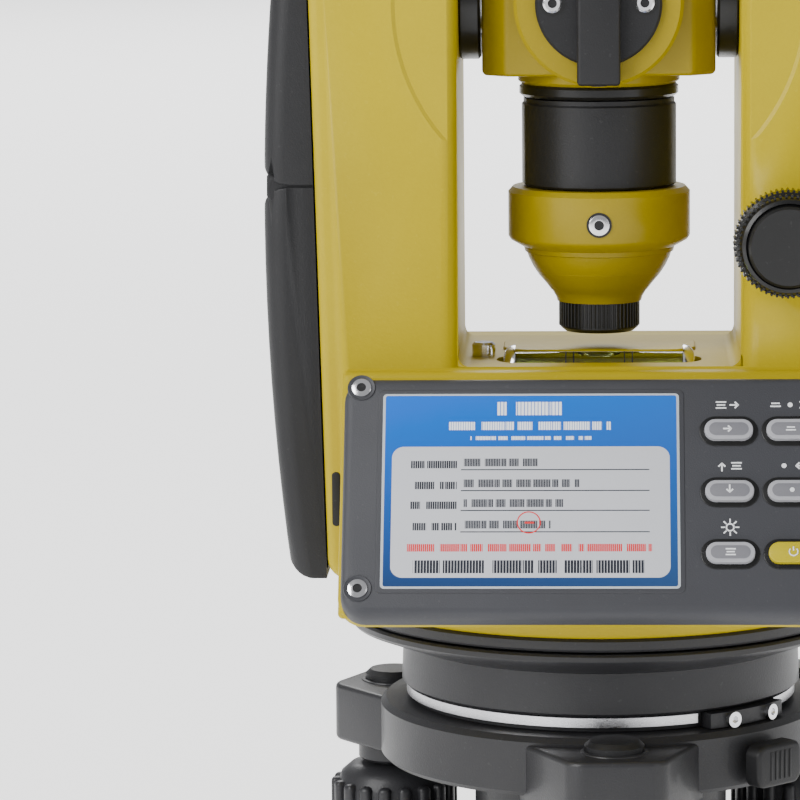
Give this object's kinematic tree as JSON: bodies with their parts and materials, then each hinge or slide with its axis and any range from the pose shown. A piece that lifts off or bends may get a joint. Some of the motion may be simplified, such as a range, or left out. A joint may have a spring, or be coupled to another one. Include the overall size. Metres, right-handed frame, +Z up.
{
  "type": "theodolite",
  "caption": "Electronic theodolite with a tilting telescope between two standards, sloping keypad panel, side battery and three-screw tribrach.",
  "frame": {"origin": "centre of the 5/8 inch tripod socket at the base plate's underside", "axes": "+Z up the vertical axis, -Y towards the person who reads the keypad, +X to that person's right"},
  "size_m": [0.1741, 0.1662, 0.34],
  "materials": {
    "yellow_enamel": "semi-gloss enamel",
    "dark_enamel": "satin enamel",
    "black_plastic": "fine grain, satin",
    "black_anodised": "black anodised, satin",
    "panel_plastic": "fine grain, satin",
    "key_silver": "satin",
    "key_yellow": "satin",
    "steel": "brushed",
    "bright_screws": "polished",
    "bearing_bronze": "turned",
    "optical_glass": "polished, coated",
    "level_glass": "polished",
    "window_glass": "polished",
    "display": "gloss",
    "card_print": "laminated",
    "circuit_board": "solder-resist gloss",
    "cell_wrap": "gloss wrap"
  },
  "bodies": {
    "root": {"base_plate": "dark_enamel", "spring_plate": "steel", "tribrach_screws": "bright_screws", "tribrach_body": "dark_enamel", "foot_caps": "black_plastic", "round_level_cup": "black_plastic", "round_level_vial": "level_glass", "circle_housing": "dark_enamel", "clamp_band": "steel", "clamp_bracket": "dark_enamel", "axis_bush": "bearing_bronze", "horizontal_circle": "optical_glass"},
    "foot_1": {"foot_screw_1": "black_plastic"},
    "foot_2": {"foot_screw_2": "black_plastic"},
    "foot_3": {"foot_screw_3": "black_plastic"},
    "lock_lever": {"lock_lever": "black_plastic"},
    "alidade": {"axis_spindle": "steel", "flange_ring": "dark_enamel", "alidade_frame": "yellow_enamel", "right_cover": "yellow_enamel", "keypad_panel": "panel_plastic", "rear_cover": "panel_plastic", "case_screws": "bright_screws", "display_window": "window_glass", "display_module": "display", "inspection_card": "card_print", "main_board": "circuit_board", "plate_level_tube": "bright_screws", "plate_level_vial": "level_glass", "level_screw": "bright_screws", "trunnion_bushes": "bearing_bronze", "carry_handle": "black_plastic", "handle_screws": "bright_screws", "plummet_tube": "black_plastic"},
    "battery": {"battery_case": "black_plastic", "battery_cells": "cell_wrap"},
    "battery_latch": {"battery_latch": "black_plastic"},
    "vertical_clamp": {"vertical_clamp_ring": "black_plastic"},
    "vertical_tangent": {"vertical_tangent_knob": "black_plastic"},
    "horizontal_clamp": {"horizontal_clamp_ring": "black_plastic"},
    "horizontal_tangent": {"horizontal_tangent_knob": "black_plastic"},
    "plummet_focus": {"plummet_eyepiece": "black_plastic"},
    "telescope": {"telescope_body": "yellow_enamel", "trunnion_shafts": "steel", "vertical_circle": "optical_glass", "objective_barrel": "yellow_enamel", "objective_cell": "black_anodised", "objective_lens": "optical_glass", "sight_plates": "black_anodised", "telescope_screws": "bright_screws", "eyepiece_cover": "yellow_enamel"},
    "focus_ring": {"focus_ring": "black_anodised"},
    "focus_lens": {"focus_lens": "optical_glass"},
    "eyepiece": {"eyepiece_ring": "black_anodised"},
    "key_1": {"key_1": "key_silver"},
    "key_2": {"key_2": "key_silver"},
    "key_3": {"key_3": "key_silver"},
    "key_4": {"key_4": "key_silver"},
    "key_5": {"key_5": "key_silver"},
    "key_6": {"key_6": "key_yellow"}
  },
  "joints": [
    {"name": "alidade_turn", "type": "hinge", "parent": "root", "child": "alidade", "pos_m": [0, 0, 0.07], "axis": [0, 0, 1], "continuous": true},
    {"name": "foot_turn_1", "type": "hinge", "parent": "root", "child": "foot_1", "pos_m": [0.00348, -0.0623, 0.02], "axis": [0, 0, 1], "range_deg": [-720, 720]},
    {"name": "foot_turn_2", "type": "hinge", "parent": "root", "child": "foot_2", "pos_m": [0.05221, 0.03417, 0.02], "axis": [0, 0, 1], "range_deg": [-720, 720]},
    {"name": "foot_turn_3", "type": "hinge", "parent": "root", "child": "foot_3", "pos_m": [-0.0557, 0.02814, 0.02], "axis": [0, 0, 1], "range_deg": [-720, 720]},
    {"name": "lock_turn", "type": "hinge", "parent": "root", "child": "lock_lever", "pos_m": [0.04073, -0.04073, 0.0408], "axis": [0.7071, -0.7071, 0], "range_deg": [0, 180]},
    {"name": "telescope_tilt", "type": "hinge", "parent": "alidade", "child": "telescope", "pos_m": [0, 0, 0.232], "axis": [1, 0, 0], "continuous": true},
    {"name": "focus_turn", "type": "hinge", "parent": "telescope", "child": "focus_ring", "pos_m": [0, 0, 0.195], "axis": [0, 0, 1], "range_deg": [-120, 120]},
    {"name": "focus_travel", "type": "slide", "parent": "telescope", "child": "focus_lens", "axis": [0, 0, 1], "range_m": [-0.0051, 0.0051]},
    {"name": "eyepiece_turn", "type": "hinge", "parent": "telescope", "child": "eyepiece", "pos_m": [0, 0, 0.15], "axis": [0, 0, 1], "range_deg": [-150, 150]},
    {"name": "vertical_clamp_turn", "type": "hinge", "parent": "alidade", "child": "vertical_clamp", "pos_m": [0.047, -0.04, 0.1727], "axis": [0, -1, 0], "range_deg": [0, 120]},
    {"name": "vertical_tangent_turn", "type": "hinge", "parent": "alidade", "child": "vertical_tangent", "pos_m": [0.047, -0.05, 0.1727], "axis": [0, -1, 0], "range_deg": [-720, 720]},
    {"name": "horizontal_clamp_turn", "type": "hinge", "parent": "alidade", "child": "horizontal_clamp", "pos_m": [0.075, -0.015, 0.11], "axis": [1, 0, 0], "range_deg": [0, 120]},
    {"name": "horizontal_tangent_turn", "type": "hinge", "parent": "alidade", "child": "horizontal_tangent", "pos_m": [0.085, -0.015, 0.11], "axis": [1, 0, 0], "range_deg": [-720, 720]},
    {"name": "plummet_turn", "type": "hinge", "parent": "alidade", "child": "plummet_focus", "pos_m": [0.078, 0.015, 0.11], "axis": [1, 0, 0], "range_deg": [-150, 150]},
    {"name": "battery_slide", "type": "slide", "parent": "alidade", "child": "battery", "axis": [-1, 0, 0], "range_m": [0, 0.03]},
    {"name": "latch_press", "type": "slide", "parent": "battery", "child": "battery_latch", "axis": [0, 0, -1], "range_m": [0, 0.003], "stiffness_N_per_m": 400, "springref_m": -0.0005},
    {"name": "key_1_press", "type": "slide", "parent": "alidade", "child": "key_1", "axis": [0, 0.848, -0.5299], "range_m": [0, 0.0008], "stiffness_N_per_m": 700, "springref_m": -0.0003},
    {"name": "key_2_press", "type": "slide", "parent": "alidade", "child": "key_2", "axis": [0, 0.848, -0.5299], "range_m": [0, 0.0008], "stiffness_N_per_m": 700, "springref_m": -0.0003},
    {"name": "key_3_press", "type": "slide", "parent": "alidade", "child": "key_3", "axis": [0, 0.848, -0.5299], "range_m": [0, 0.0008], "stiffness_N_per_m": 700, "springref_m": -0.0003},
    {"name": "key_4_press", "type": "slide", "parent": "alidade", "child": "key_4", "axis": [0, 0.848, -0.5299], "range_m": [0, 0.0008], "stiffness_N_per_m": 700, "springref_m": -0.0003},
    {"name": "key_5_press", "type": "slide", "parent": "alidade", "child": "key_5", "axis": [0, 0.848, -0.5299], "range_m": [0, 0.0008], "stiffness_N_per_m": 700, "springref_m": -0.0003},
    {"name": "key_6_press", "type": "slide", "parent": "alidade", "child": "key_6", "axis": [0, 0.848, -0.5299], "range_m": [0, 0.0008], "stiffness_N_per_m": 700, "springref_m": -0.0003}
  ],
  "couplings": [
    {"joint": "focus_travel", "follows": "focus_turn", "m_per_rad": 0.002387}
  ]
}
